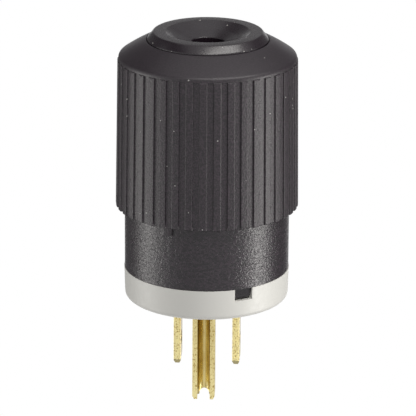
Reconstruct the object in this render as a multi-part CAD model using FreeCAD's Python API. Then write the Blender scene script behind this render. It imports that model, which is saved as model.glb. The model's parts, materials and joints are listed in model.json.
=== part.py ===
"""Rewireable type B plug: two flat blades, a folded U ground pin, a ribbed grip shell.

Every piece is drawn with the plug's axis on Z, the mating face at z = 0, the pins pointing
down and the ground pin on the -Y side. Last of all each piece is turned over, as the plug
rests unheld on a bench: it stands on the flat rim of its cord gland, pins up (+Z), the ground
pin still on the -Y side. The origin stays at the centre of the mating face. Lengths are in
millimetres.
"""
import FreeCAD, Part
import math
import os

from FreeCAD import Vector

# Clearances
SEAT = 0.05                 # each side of a piece that is held in a slot or hole
SLIP = 0.12                 # each side of a moulding that slides over another

# Pin pattern of the standard 15 A plug
BLADE_PITCH = 12.7          # centre to centre of the two blades
BLADE_TO_GROUND = 11.9      # from the blades' line to the ground pin's centre
BLADE_LINE_Y = 4.36         # blades' line, off the plug's axis
BLADE_WIDTH = 6.35
BLADE_THICKNESS = 1.52
BLADE_REACH = 17.0          # out of the mating face
BLADE_TIP_LENGTH = 0.8
BLADE_TIP_NARROWING = 0.3   # each flat, at the tip
BLADE_CORNER = 1.2          # cut corners of the tip, seen on the flat
BLADE_HOLE_RADIUS = 1.6
BLADE_HOLE_FROM_TIP = 5.3
GROUND_WIDTH = 4.78
GROUND_DEPTH = 4.78
GROUND_WALL = 1.05
GROUND_REACH = 20.5
GROUND_TIP_LENGTH = 0.7
GROUND_TIP_NARROWING = 0.35
BACK_SCALLOP_MARGIN = 0.29  # round notch in the back wall's lower end, inside the bore
BACK_SCALLOP_HEIGHT = 1.2
SIDE_SCALLOP_RADIUS = 1.02  # round notch in each leg's lower end
SIDE_SCALLOP_HEIGHT = 1.8
SIDE_SCALLOP_SHIFT = 0.48   # towards the mouth of the U

# White front face
FACE_STEP = 0.1             # stands proud of the terminal body
FACE_DRAFT = 0.15
FACE_HEIGHT = 6.64
FACE_EDGE_ROUND = 1.2
SHOULDER_HEIGHT = 2.0       # cross shoulders of the blades, held under the terminal body
SHOULDER_OVERHANG = 1.1

# Key between face and terminal body, and the guide key under the shell
KEY_ANGLE = 29.6            # from the ground pin's side, towards the line blade
KEY_WIDTH = 3.4
KEY_LENGTH = 1.97
KEY_SETBACK = 0.5           # the key's outside lies this far inside the body's
KEY_BITE = 1.9              # radial thickness of the key
KEY_END_GAP = 0.59          # between the key's end and the notch's floor
KEY_SIDE_GAP = 0.325
GUIDE_ANGLE = 25.2          # from the ground pin's side, towards the neutral blade
GUIDE_WIDTH = 2.6
GUIDE_PROUD = 0.45
GUIDE_SLOPE_RUN = 0.7       # sloped side of the key, away from the ground pin
GUIDE_SLOPE_DROP = 0.3
GUIDE_DROP = 2.05           # shows below the shell's edge
GUIDE_LENGTH = 5.5

# Terminal body
BODY_RADIUS = 17.5
BODY_LENGTH = 27.36
BODY_SHOWN = 13.82          # below the shell
POCKET_DEPTH = 12.2
POCKET_MARGIN = 0.45        # beside the blade, each side
BARRIER_GAP = 0.39          # between the pockets' barrier and the end of a terminal screw
GROUND_POCKET_MARGIN = 1.125
GROUND_BARRIER_GAP = 0.65   # behind the end of the ground terminal's screw
POST_LENGTH_X = 2.4
POST_LENGTH_Y = 5.2
POST_TO_SCREW = 3.9
POST_CENTRE_Y = -2.8
POST_HEIGHT = 6.0

# Terminals
TAIL_INSET = 2.0            # the tails end this far inside the terminal body
TERMINAL_DROP = 4.4         # from the tail's end to the screw
WIRE_GAP = 1.8              # between the tail and its clamp plate
PLATE_THICKNESS = 1.4
PLATE_HEIGHT = 8.0
PLATE_SIDE_GAP = 0.525      # beside the plate in its pocket
TERMINAL_SHANK_RADIUS = 1.6
TERMINAL_SHANK_TAIL = 0.5   # stands out behind the clamp plate
TERMINAL_HEAD_RADIUS = 2.9
TERMINAL_HEAD_HEIGHT = 1.9
DRIVE_SLOT_WIDTH = 0.8
DRIVE_SLOT_DEPTH = 0.9

# Assembly screws, their retaining washers and inserts
SCREW_INSET = 4.9           # from the terminal body's outside
SCREW_Y = -3.2
SCREW_SHANK_RADIUS = 1.65
SCREW_HEAD_OVERHANG = 1.25
SCREW_HEAD_HEIGHT = 2.1
SCREW_RECESS = 0.6          # head below the mating face
SCREW_PAST_INSERT = 0.8     # screw's end beyond the insert
WASHER_THICKNESS = 0.8
INSERT_WALL = 0.95
INSERT_LENGTH = 7.0
INSERT_LIFT = 4.0           # above the terminal body
BOSS_WALL = 1.0
BOSS_BELOW_INSERT = 1.0
BOSS_ABOVE_INSERT = 2.4

# Ribbed grip shell
SHELL_WALL_BOTTOM = 1.43    # between the bore and the floor of the grooves
SHELL_WALL_TOP = 1.01
RIB_COUNT = 41
RIB_SHARE = 0.52            # share of each pitch that is rib
RIB_TURN = 0.43             # degrees from the ground pin's side to the middle of a rib
RIB_DEPTH = 0.35
RIB_ROOT = 0.4              # ribs start this deep in the wall
LIP_STEP = 0.18             # the lip stands this far inside the ribs
LIP_ROUND = 0.98
LIP_DROP = 0.35             # plain band between the ribs' ends and the round
SHOULDER_RUN = 5.93
SHOULDER_RISE = 4.01
SHOULDER_BOW = 0.14
CHAMBER_STEP = 1.1          # the chamber is this much narrower than the terminal body
CHAMBER_CHAMFER_RUN = 4.4
CHAMBER_CHAMFER_RISE = 2.4
WEDGE_TO_SCREW = 2.0
WEDGE_WALL = 1.5
WEDGE_TAPER = 0.9

# Rubber cord gland
GLAND_GAP = 0.1             # dark line between gland and shoulder
GLAND_SEAT_DEPTH = 0.46     # seat below the shoulder's inner edge
GLAND_RISE = 2.1            # from the seat to the flat rim
GLAND_FLANK_LIFT = 0.52
GLAND_FLANK_RUN = 1.27
GLAND_RIM_ROUND = 0.45
GLAND_RIM_WIDTH = 2.6
DISH_DEPTH = 2.2
CORD_RADIUS = 3.4
GLAND_NECK_HEIGHT = 3.2
GLAND_COLLAR_HEIGHT = 2.4
GLAND_COLLAR_GAP = 0.6      # inside the wedge collar
GLAND_COLLAR_LEDGE = 1.0
GLAND_LEAD_IN = 0.7

# Cord jaws
JAW_HEIGHT = 9.0
JAW_SPLIT = 0.8             # gap between the two jaws
JAW_BORE_GAP = 0.15         # round the cord
JAW_LEAD = 0.6              # stands out below the wedge collar
JAW_HEADROOM = 1.6
JAW_TOOTH_DEPTH = 0.6
JAW_TOOTH_PITCH = 2.4

# Worked out from the sizes above: places across the plug
LINE_X = BLADE_PITCH / 2
GROUND_Y = BLADE_LINE_Y - BLADE_TO_GROUND
STRAP_OUTER_Y = GROUND_Y + GROUND_WIDTH / 2 - GROUND_WALL
POCKET_HALF = BLADE_WIDTH / 2 + POCKET_MARGIN
GROUND_POCKET_HALF = BLADE_WIDTH / 2 + GROUND_POCKET_MARGIN
BEHIND_TAIL = WIRE_GAP + PLATE_THICKNESS + TERMINAL_SHANK_TAIL
BARRIER_HALF = LINE_X - BLADE_THICKNESS / 2 - BEHIND_TAIL - BARRIER_GAP
GROUND_BARRIER_Y = STRAP_OUTER_Y + GROUND_WALL + BEHIND_TAIL + GROUND_BARRIER_GAP
PLATE_WIDTH = 2 * (POCKET_HALF - PLATE_SIDE_GAP)
BACK_SCALLOP_RADIUS = GROUND_WIDTH / 2 - GROUND_WALL - BACK_SCALLOP_MARGIN
NOTCH_WIDTH = KEY_WIDTH + 2 * KEY_SIDE_GAP
SCREW_X = BODY_RADIUS - SCREW_INSET
SCREW_HEAD_RADIUS = SCREW_SHANK_RADIUS + SCREW_HEAD_OVERHANG
WASHER_RADIUS = SCREW_HEAD_RADIUS
INSERT_RADIUS = SCREW_SHANK_RADIUS + INSERT_WALL
BOSS_RADIUS = INSERT_RADIUS + BOSS_WALL
POST_OUTER_X = SCREW_X - POST_TO_SCREW
JAW_BORE_RADIUS = CORD_RADIUS + JAW_BORE_GAP

# Radii, from the terminal body outwards and inwards
FACE_RADIUS = BODY_RADIUS + FACE_STEP
SHELL_BORE = BODY_RADIUS + SLIP
RIB_RADIUS_BOTTOM = SHELL_BORE + SHELL_WALL_BOTTOM + RIB_DEPTH
RIB_RADIUS_TOP = SHELL_BORE + SHELL_WALL_TOP + RIB_DEPTH
LIP_RADIUS = RIB_RADIUS_TOP - LIP_STEP
SHOULDER_TOP_RADIUS = LIP_RADIUS - SHOULDER_RUN
GLAND_RADIUS = SHOULDER_TOP_RADIUS - GLAND_GAP
GLAND_RIM_RADIUS = GLAND_RADIUS - GLAND_FLANK_RUN
DISH_RADIUS = GLAND_RIM_RADIUS - GLAND_RIM_WIDTH
CHAMBER_RADIUS = BODY_RADIUS - CHAMBER_STEP
CHAMBER_CORNER_RADIUS = CHAMBER_RADIUS - CHAMBER_CHAMFER_RUN
WEDGE_OUTER_RADIUS = SCREW_X - WEDGE_TO_SCREW
WEDGE_BOTTOM_RADIUS = WEDGE_OUTER_RADIUS - WEDGE_WALL
WEDGE_TOP_RADIUS = WEDGE_BOTTOM_RADIUS - WEDGE_TAPER
GLAND_COLLAR_RADIUS = WEDGE_TOP_RADIUS - GLAND_COLLAR_GAP
GLAND_NECK_RADIUS = GLAND_COLLAR_RADIUS - GLAND_COLLAR_LEDGE

# Heights, from the mating face to the gland's rim
SHOULDER_Z = FACE_HEIGHT - SHOULDER_HEIGHT
NOTCH_HEIGHT = KEY_LENGTH + KEY_END_GAP
SCREW_HEAD_TOP = SCREW_RECESS + SCREW_HEAD_HEIGHT
WASHER_BOTTOM = FACE_HEIGHT - WASHER_THICKNESS
SHELL_BOTTOM = FACE_HEIGHT + BODY_SHOWN
BODY_TOP = FACE_HEIGHT + BODY_LENGTH
POCKET_FLOOR = BODY_TOP - POCKET_DEPTH
TAIL_TOP = BODY_TOP - TAIL_INSET
TERMINAL_Z = TAIL_TOP - TERMINAL_DROP
INSERT_BOTTOM = BODY_TOP + INSERT_LIFT
INSERT_TOP = INSERT_BOTTOM + INSERT_LENGTH
JAW_BOTTOM = BODY_TOP + POST_HEIGHT
JAW_TOP = JAW_BOTTOM + JAW_HEIGHT
WEDGE_BOTTOM_Z = JAW_BOTTOM + JAW_LEAD
GLAND_BOTTOM_Z = JAW_TOP + JAW_HEADROOM
WEDGE_TOP_Z = GLAND_BOTTOM_Z
CEILING_Z = GLAND_BOTTOM_Z + GLAND_COLLAR_HEIGHT
CHAMBER_CORNER_Z = CEILING_Z - CHAMBER_CHAMFER_RISE
GLAND_SEAT_Z = CEILING_Z + GLAND_NECK_HEIGHT
SHOULDER_TOP_Z = GLAND_SEAT_Z + GLAND_SEAT_DEPTH
LIP_Z = SHOULDER_TOP_Z - SHOULDER_RISE
GLAND_FLANK_Z = GLAND_SEAT_Z + GLAND_FLANK_LIFT
GLAND_TOP = GLAND_SEAT_Z + GLAND_RISE
DISH_BOTTOM_Z = GLAND_TOP - DISH_DEPTH
RIB_ANGLE = 360.0 / RIB_COUNT
BEYOND = 1.0                # cuts run this far past the faces they open

AXIS = Vector(0, 0, 1)
ORIGIN = Vector(0, 0, 0)


def block(x0, x1, y0, y1, z0, z1):
    """Box between two corners."""
    return Part.makeBox(x1 - x0, y1 - y0, z1 - z0, Vector(x0, y0, z0))


def rod(radius, z0, z1, x=0.0, y=0.0):
    """Upright cylinder."""
    return Part.makeCylinder(radius, z1 - z0, Vector(x, y, z0), AXIS)


def outline(start, *steps):
    """Closed face in the XZ plane. A step is an end point, or a (middle, end) pair for an arc."""
    def at(point):
        return Vector(point[0], 0, point[1])

    edges = []
    here = start
    for step in steps + (start,):
        if isinstance(step[0], tuple):
            middle, end = step
            edges.append(Part.Arc(at(here), at(middle), at(end)).toShape())
        else:
            end = step
            edges.append(Part.LineSegment(at(here), at(end)).toShape())
        here = end
    return Part.Face(Part.Wire(edges))


def turned(face, degrees=360.0):
    """Solid of revolution about the plug's axis."""
    return face.revolve(ORIGIN, AXIS, degrees)


def spun(shape, degrees):
    """Copy turned about the plug's axis, anticlockwise seen from the cord's end."""
    copy = shape.copy()
    copy.rotate(ORIGIN, AXIS, degrees)
    return copy


def mirrored(shape):
    """The same piece on the other side of the X = 0 plane."""
    return shape.mirror(ORIGIN, Vector(1, 0, 0))


def key_block(width, r0, r1, z0, z1, degrees):
    """Radial block on the ground pin's side, turned by an angle towards the line blade."""
    return spun(block(-width / 2, width / 2, -r1, -r0, z0, z1), degrees)


def guide_key():
    """Low key that steers the shell on: a block on the body's side with one long side sloped off."""
    half = GUIDE_WIDTH / 2
    crest = -BODY_RADIUS - GUIDE_PROUD
    root = -BODY_RADIUS + BEYOND
    bottom = SHELL_BOTTOM - GUIDE_DROP
    plan = Part.makePolygon([
        Vector(-half, root, bottom), Vector(-half, crest + GUIDE_SLOPE_DROP, bottom),
        Vector(-half + GUIDE_SLOPE_RUN, crest, bottom), Vector(half, crest, bottom),
        Vector(half, root, bottom), Vector(-half, root, bottom)])
    return spun(Part.Face(plan).extrude(Vector(0, 0, GUIDE_LENGTH)), -GUIDE_ANGLE)


def u_section(grow=0.0):
    """Section of the folded ground pin: a half ring with two straight legs, mouth on -Y."""
    outer = GROUND_WIDTH / 2 + grow
    mouth_y = GROUND_Y - (GROUND_DEPTH - GROUND_WIDTH / 2) - grow
    ring = Part.Face(Part.Wire(Part.makeCircle(outer, Vector(0, GROUND_Y, 0))))
    legs = Part.makePlane(2 * outer, GROUND_Y - mouth_y, Vector(-outer, mouth_y, 0))
    return ring.fuse(legs).removeSplitter(), mouth_y


def blade():
    """Line blade: flat bar with a narrowed tip, cross shoulders and a screw hole in its tail."""
    half = BLADE_THICKNESS / 2
    tip = -BLADE_REACH
    side = outline(
        (-half, TAIL_TOP), (half, TAIL_TOP), (half, tip + BLADE_TIP_LENGTH),
        (half - BLADE_TIP_NARROWING, tip), (-half + BLADE_TIP_NARROWING, tip),
        (-half, tip + BLADE_TIP_LENGTH))
    wide = BLADE_WIDTH / 2
    shoulder = wide + SHOULDER_OVERHANG
    flat = outline(
        (-wide, TAIL_TOP), (wide, TAIL_TOP), (wide, FACE_HEIGHT), (shoulder, FACE_HEIGHT),
        (shoulder, SHOULDER_Z), (wide, SHOULDER_Z), (wide, tip + BLADE_CORNER),
        (wide - BLADE_CORNER, tip), (-wide + BLADE_CORNER, tip), (-wide, tip + BLADE_CORNER),
        (-wide, SHOULDER_Z), (-shoulder, SHOULDER_Z), (-shoulder, FACE_HEIGHT), (-wide, FACE_HEIGHT))
    flat.rotate(ORIGIN, AXIS, 90)
    flat.translate(Vector(-half, 0, 0))
    side.translate(Vector(0, -shoulder, 0))
    bar = flat.extrude(Vector(BLADE_THICKNESS, 0, 0)).common(side.extrude(Vector(0, 2 * shoulder, 0)))
    holes = ((tip + BLADE_HOLE_FROM_TIP, BLADE_HOLE_RADIUS), (TERMINAL_Z, TERMINAL_SHANK_RADIUS + SEAT))
    for z, radius in holes:
        bar = bar.cut(Part.makeCylinder(
            radius, 2 * BLADE_THICKNESS, Vector(-BLADE_THICKNESS, 0, z), Vector(1, 0, 0)))
    bar.translate(Vector(LINE_X, BLADE_LINE_Y, 0))
    return bar


def ground_pin():
    """Folded strip: a U down to a scalloped tip, and a flat strap up to the terminal."""
    outer, mouth_y = u_section()
    bore = GROUND_WIDTH / 2 - GROUND_WALL
    depth = GROUND_REACH + FACE_HEIGHT
    pin = outer.extrude(Vector(0, 0, depth))
    pin = pin.cut(rod(bore, -BEYOND, depth + BEYOND, 0, GROUND_Y))
    pin = pin.cut(block(-bore, bore, mouth_y - BEYOND, GROUND_Y, -BEYOND, depth + BEYOND))
    pin.translate(Vector(0, 0, -GROUND_REACH))
    tip = -GROUND_REACH
    half = GROUND_WIDTH / 2
    taper = outline(
        (-half, FACE_HEIGHT), (half, FACE_HEIGHT), (half, tip + GROUND_TIP_LENGTH),
        (half - GROUND_TIP_NARROWING, tip), (-half + GROUND_TIP_NARROWING, tip),
        (-half, tip + GROUND_TIP_LENGTH))
    taper.translate(Vector(0, mouth_y - BEYOND, 0))
    pin = pin.common(taper.extrude(Vector(0, GROUND_DEPTH + 2 * BEYOND, 0)))
    back = BACK_SCALLOP_RADIUS
    back_z = tip + BACK_SCALLOP_HEIGHT - back
    pin = pin.cut(Part.makeCylinder(back, GROUND_DEPTH, Vector(0, GROUND_Y, back_z), Vector(0, 1, 0)))
    pin = pin.cut(block(-back, back, GROUND_Y, GROUND_Y + GROUND_DEPTH, tip - BEYOND, back_z))
    leg = SIDE_SCALLOP_RADIUS
    leg_y = GROUND_Y - SIDE_SCALLOP_SHIFT
    leg_z = tip + SIDE_SCALLOP_HEIGHT - leg
    pin = pin.cut(Part.makeCylinder(
        leg, 2 * GROUND_WIDTH, Vector(-GROUND_WIDTH, leg_y, leg_z), Vector(1, 0, 0)))
    pin = pin.cut(block(-GROUND_WIDTH, GROUND_WIDTH, leg_y - leg, leg_y + leg, tip - BEYOND, leg_z))
    wide = BLADE_WIDTH / 2
    flange = GROUND_WIDTH / 2 + SHOULDER_OVERHANG
    inner_y = STRAP_OUTER_Y + GROUND_WALL
    strap = block(-wide, wide, STRAP_OUTER_Y, inner_y, FACE_HEIGHT, TAIL_TOP)
    shoulder = block(-flange, flange, STRAP_OUTER_Y, inner_y, SHOULDER_Z, FACE_HEIGHT)
    strap = strap.cut(Part.makeCylinder(
        TERMINAL_SHANK_RADIUS + SEAT, 2 * GROUND_WALL,
        Vector(0, STRAP_OUTER_Y - GROUND_WALL / 2, TERMINAL_Z), Vector(0, 1, 0)))
    return pin.fuse([strap, shoulder]).removeSplitter()


def lying(shape, head_at, along):
    """Moves a piece drawn on the Z axis so that its zero is at a point and its Z lies along a line."""
    copy = shape.copy()
    move = FreeCAD.Placement(head_at, FreeCAD.Rotation(AXIS, along))
    copy.Placement = move.multiply(shape.Placement)
    return copy


def terminal_screw(grip):
    """Round slotted head with its underside at zero; the shank runs down through tail and plate."""
    length = grip + WIRE_GAP + PLATE_THICKNESS + TERMINAL_SHANK_TAIL
    crown = TERMINAL_HEAD_HEIGHT * 0.35
    head = turned(outline(
        (0, 0), (TERMINAL_HEAD_RADIUS, 0), (TERMINAL_HEAD_RADIUS, TERMINAL_HEAD_HEIGHT - crown),
        ((TERMINAL_HEAD_RADIUS * 0.62, TERMINAL_HEAD_HEIGHT - crown * 0.32), (0, TERMINAL_HEAD_HEIGHT))))
    slot = block(-TERMINAL_HEAD_RADIUS, TERMINAL_HEAD_RADIUS, -DRIVE_SLOT_WIDTH / 2, DRIVE_SLOT_WIDTH / 2,
                 TERMINAL_HEAD_HEIGHT - DRIVE_SLOT_DEPTH, TERMINAL_HEAD_HEIGHT + BEYOND)
    return head.cut(slot).fuse(rod(TERMINAL_SHANK_RADIUS, -length, 0)).removeSplitter()


def clamp_plate(grip):
    """Small brass plate on the screw behind the tail, with a groove across it that bites the wire."""
    near = grip + WIRE_GAP
    plate = block(-PLATE_HEIGHT / 2, PLATE_HEIGHT / 2, -PLATE_WIDTH / 2, PLATE_WIDTH / 2,
                  -near - PLATE_THICKNESS, -near)
    plate = plate.cut(rod(TERMINAL_SHANK_RADIUS + SEAT, -near - PLATE_THICKNESS - BEYOND, -near + BEYOND))
    groove = PLATE_THICKNESS * 0.35
    for side in (-1, 1):
        centre = side * (PLATE_WIDTH / 2 + TERMINAL_SHANK_RADIUS) / 2
        start = Vector(-PLATE_HEIGHT / 2 - BEYOND, centre, -near)
        plate = plate.cut(Part.makeCylinder(groove, PLATE_HEIGHT + 2 * BEYOND, start, Vector(1, 0, 0)))
    return plate


def line_terminal(maker):
    """Places a screw or plate at the line blade's tail, head outwards."""
    outside = Vector(LINE_X + BLADE_THICKNESS / 2, BLADE_LINE_Y, TERMINAL_Z)
    return lying(maker(BLADE_THICKNESS), outside, Vector(1, 0, 0))


def ground_terminal(maker):
    """Places a screw or plate at the ground strap, head outwards."""
    outside = Vector(0, STRAP_OUTER_Y, TERMINAL_Z)
    flat = maker(GROUND_WALL)
    flat.rotate(ORIGIN, AXIS, 90)
    return lying(flat, outside, Vector(0, -1, 0))


def front_face():
    """White moulded face: rounded edge, pin slots, key notch and recesses for the long screws."""
    bottom = FACE_RADIUS - FACE_DRAFT
    bend = FACE_EDGE_ROUND * (1 - math.sqrt(0.5))
    face = turned(outline(
        (0, 0), (bottom - FACE_EDGE_ROUND, 0), ((bottom - bend, bend), (bottom, FACE_EDGE_ROUND)),
        (FACE_RADIUS, FACE_HEIGHT), (0, FACE_HEIGHT)))
    slot_x = BLADE_THICKNESS / 2 + SEAT
    slot_y = BLADE_WIDTH / 2 + SEAT
    shoulder_y = slot_y + SHOULDER_OVERHANG
    cuts = []
    for x in (-LINE_X, LINE_X):
        cuts.append(block(x - slot_x, x + slot_x, BLADE_LINE_Y - slot_y, BLADE_LINE_Y + slot_y,
                          -BEYOND, FACE_HEIGHT + BEYOND))
        cuts.append(block(x - slot_x, x + slot_x, BLADE_LINE_Y - shoulder_y, BLADE_LINE_Y + shoulder_y,
                          SHOULDER_Z, FACE_HEIGHT + BEYOND))
    hole, _ = u_section(SEAT)
    hole.translate(Vector(0, 0, -BEYOND))
    cuts.append(hole.extrude(Vector(0, 0, FACE_HEIGHT + 2 * BEYOND)))
    flange = GROUND_WIDTH / 2 + SHOULDER_OVERHANG + SEAT
    cuts.append(block(-flange, flange, STRAP_OUTER_Y - SEAT, STRAP_OUTER_Y + GROUND_WALL + SEAT,
                      SHOULDER_Z, FACE_HEIGHT + BEYOND))
    for x in (-SCREW_X, SCREW_X):
        cuts.append(rod(SCREW_HEAD_RADIUS + SLIP, -BEYOND, SCREW_HEAD_TOP, x, SCREW_Y))
        cuts.append(rod(SCREW_SHANK_RADIUS + SLIP, -BEYOND, FACE_HEIGHT + BEYOND, x, SCREW_Y))
        cuts.append(rod(WASHER_RADIUS + SLIP, WASHER_BOTTOM, FACE_HEIGHT + BEYOND, x, SCREW_Y))
    notch_floor = BODY_RADIUS - KEY_SETBACK - KEY_BITE - SLIP
    cuts.append(key_block(NOTCH_WIDTH, notch_floor, FACE_RADIUS + BEYOND,
                          FACE_HEIGHT - NOTCH_HEIGHT, FACE_HEIGHT + BEYOND, KEY_ANGLE))
    return face.cut(cuts)


def terminal_body():
    """Black moulding that holds the pins' tails in three open pockets and seats the cord jaws."""
    body = rod(BODY_RADIUS, FACE_HEIGHT, BODY_TOP)
    key_r = BODY_RADIUS - KEY_SETBACK
    adds = [
        key_block(KEY_WIDTH, key_r - KEY_BITE, key_r,
                  FACE_HEIGHT - KEY_LENGTH, FACE_HEIGHT + BEYOND, KEY_ANGLE),
        guide_key()]
    for side in (-1, 1):
        x0, x1 = sorted((side * (POST_OUTER_X - POST_LENGTH_X), side * POST_OUTER_X))
        adds.append(block(x0, x1, POST_CENTRE_Y - POST_LENGTH_Y / 2, POST_CENTRE_Y + POST_LENGTH_Y / 2,
                          BODY_TOP - BEYOND, BODY_TOP + POST_HEIGHT))
    body = body.fuse(adds)
    tail_x = BLADE_THICKNESS / 2 + SEAT
    tail_y = BLADE_WIDTH / 2 + SEAT
    cuts = []
    for side in (-1, 1):
        x = side * LINE_X
        x0, x1 = sorted((side * BARRIER_HALF, side * (BODY_RADIUS + BEYOND)))
        cuts.append(block(x - tail_x, x + tail_x, BLADE_LINE_Y - tail_y, BLADE_LINE_Y + tail_y,
                          FACE_HEIGHT - BEYOND, POCKET_FLOOR + BEYOND))
        cuts.append(block(x0, x1, BLADE_LINE_Y - POCKET_HALF, BLADE_LINE_Y + POCKET_HALF,
                          POCKET_FLOOR, BODY_TOP + BEYOND))
        cuts.append(rod(SCREW_SHANK_RADIUS + SLIP, FACE_HEIGHT - BEYOND, BODY_TOP + BEYOND,
                        side * SCREW_X, SCREW_Y))
    cuts.append(block(-tail_y, tail_y, STRAP_OUTER_Y - SEAT, STRAP_OUTER_Y + GROUND_WALL + SEAT,
                      FACE_HEIGHT - BEYOND, POCKET_FLOOR + BEYOND))
    cuts.append(block(-GROUND_POCKET_HALF, GROUND_POCKET_HALF, -BODY_RADIUS - BEYOND, GROUND_BARRIER_Y,
                      POCKET_FLOOR, BODY_TOP + BEYOND))
    return body.cut(cuts)


def rib_radius(z):
    """Outer radius of the ribs at a height: the mould's draft is a straight taper."""
    share = (z - SHELL_BOTTOM) / (LIP_Z - SHELL_BOTTOM)
    return RIB_RADIUS_BOTTOM + share * (RIB_RADIUS_TOP - RIB_RADIUS_BOTTOM)


def shell_section():
    """Half section of the shell: rib floor, rounded lip, bowed shoulder, gland seat and wedge collar."""
    band_z = LIP_Z - LIP_DROP
    round_x = LIP_RADIUS - LIP_ROUND
    slope = math.atan2(SHOULDER_TOP_Z - LIP_Z, LIP_RADIUS - SHOULDER_TOP_RADIUS)
    sweep = math.pi / 2 - slope
    arc_end = (round_x + LIP_ROUND * math.cos(sweep), LIP_Z + LIP_ROUND * math.sin(sweep))
    arc_mid = (round_x + LIP_ROUND * math.cos(sweep / 2), LIP_Z + LIP_ROUND * math.sin(sweep / 2))
    bow_mid = ((arc_end[0] + SHOULDER_TOP_RADIUS) / 2 + SHOULDER_BOW * math.sin(slope),
               (arc_end[1] + SHOULDER_TOP_Z) / 2 + SHOULDER_BOW * math.cos(slope))
    neck = GLAND_NECK_RADIUS + SEAT
    return outline(
        (SHELL_BORE, SHELL_BOTTOM),
        (rib_radius(SHELL_BOTTOM) - RIB_DEPTH, SHELL_BOTTOM),
        (rib_radius(band_z) - RIB_DEPTH, band_z),
        (LIP_RADIUS, band_z),
        (LIP_RADIUS, LIP_Z),
        (arc_mid, arc_end),
        (bow_mid, (SHOULDER_TOP_RADIUS, SHOULDER_TOP_Z)),
        (SHOULDER_TOP_RADIUS, GLAND_SEAT_Z),
        (neck, GLAND_SEAT_Z),
        (neck, CEILING_Z),
        (WEDGE_TOP_RADIUS, CEILING_Z),
        (WEDGE_TOP_RADIUS, WEDGE_TOP_Z),
        (WEDGE_BOTTOM_RADIUS, WEDGE_BOTTOM_Z),
        (WEDGE_OUTER_RADIUS, WEDGE_BOTTOM_Z),
        (WEDGE_OUTER_RADIUS, CEILING_Z),
        (CHAMBER_CORNER_RADIUS, CEILING_Z),
        (CHAMBER_RADIUS, CHAMBER_CORNER_Z),
        (CHAMBER_RADIUS, BODY_TOP),
        (SHELL_BORE, BODY_TOP))


def ribs():
    """Straight ribs round the grip, one of them close to the middle of the ground pin's side."""
    top = LIP_Z - LIP_DROP
    section = outline(
        (rib_radius(SHELL_BOTTOM) - RIB_DEPTH - RIB_ROOT, SHELL_BOTTOM),
        (rib_radius(SHELL_BOTTOM), SHELL_BOTTOM),
        (rib_radius(top), top),
        (rib_radius(top) - RIB_DEPTH - RIB_ROOT, top))
    width = RIB_ANGLE * RIB_SHARE
    rib = spun(turned(section, width), RIB_TURN - 90 - width / 2)
    return [spun(rib, i * RIB_ANGLE) for i in range(RIB_COUNT)]


def grip_shell():
    """Ribbed outer shell with the shoulder, the inside wedge collar and two insert bosses."""
    boss_bottom = INSERT_BOTTOM - BOSS_BELOW_INSERT
    boss_top = INSERT_TOP + BOSS_ABOVE_INSERT
    bosses = []
    bores = []
    for x in (-SCREW_X, SCREW_X):
        bosses.append(rod(BOSS_RADIUS, boss_bottom, boss_top, x, SCREW_Y))
        bores.append(rod(INSERT_RADIUS, INSERT_BOTTOM, INSERT_TOP, x, SCREW_Y))
        bores.append(rod(SCREW_SHANK_RADIUS + SLIP, boss_bottom - BEYOND,
                         INSERT_TOP + 2 * SCREW_PAST_INSERT, x, SCREW_Y))
    shell = turned(shell_section()).fuse(ribs() + bosses)
    keyway_top = SHELL_BOTTOM - GUIDE_DROP + GUIDE_LENGTH + SLIP
    keyway = key_block(GUIDE_WIDTH + 2 * SLIP, BODY_RADIUS - BEYOND, BODY_RADIUS + GUIDE_PROUD + SLIP,
                       SHELL_BOTTOM - BEYOND, keyway_top, -GUIDE_ANGLE)
    return shell.cut(bores + [keyway])


def cord_gland():
    """Rubber bushing: raised boss with a dished mouth, a neck in the shell and a collar below it."""
    flank = math.atan2(GLAND_TOP - GLAND_FLANK_Z, GLAND_RADIUS - GLAND_RIM_RADIUS)
    turn = math.pi / 2 - flank
    reach = GLAND_RIM_ROUND * math.tan((math.pi / 2 - turn) / 2)
    start = (GLAND_RIM_RADIUS + reach * math.cos(flank), GLAND_TOP - reach * math.sin(flank))
    centre = (GLAND_RIM_RADIUS - reach, GLAND_TOP - GLAND_RIM_ROUND)
    half = (math.pi / 2 + turn) / 2
    middle = (centre[0] + GLAND_RIM_ROUND * math.cos(half), centre[1] + GLAND_RIM_ROUND * math.sin(half))
    dish_mid = ((DISH_RADIUS + CORD_RADIUS) / 2, (GLAND_TOP + DISH_BOTTOM_Z) / 2 - SHOULDER_BOW)
    return turned(outline(
        (CORD_RADIUS, GLAND_BOTTOM_Z),
        (GLAND_COLLAR_RADIUS - GLAND_LEAD_IN, GLAND_BOTTOM_Z),
        (GLAND_COLLAR_RADIUS, GLAND_BOTTOM_Z + GLAND_LEAD_IN),
        (GLAND_COLLAR_RADIUS, CEILING_Z),
        (GLAND_NECK_RADIUS, CEILING_Z),
        (GLAND_NECK_RADIUS, GLAND_SEAT_Z),
        (GLAND_RADIUS, GLAND_SEAT_Z),
        (GLAND_RADIUS, GLAND_FLANK_Z),
        start,
        (middle, (centre[0], GLAND_TOP)),
        (DISH_RADIUS, GLAND_TOP),
        (dish_mid, (CORD_RADIUS, DISH_BOTTOM_Z))))


def wedge_radius(z):
    """Radius inside the shell's wedge collar at a height."""
    share = (z - WEDGE_BOTTOM_Z) / (WEDGE_TOP_Z - WEDGE_BOTTOM_Z)
    return WEDGE_BOTTOM_RADIUS + share * (WEDGE_TOP_RADIUS - WEDGE_BOTTOM_RADIUS)


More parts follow.
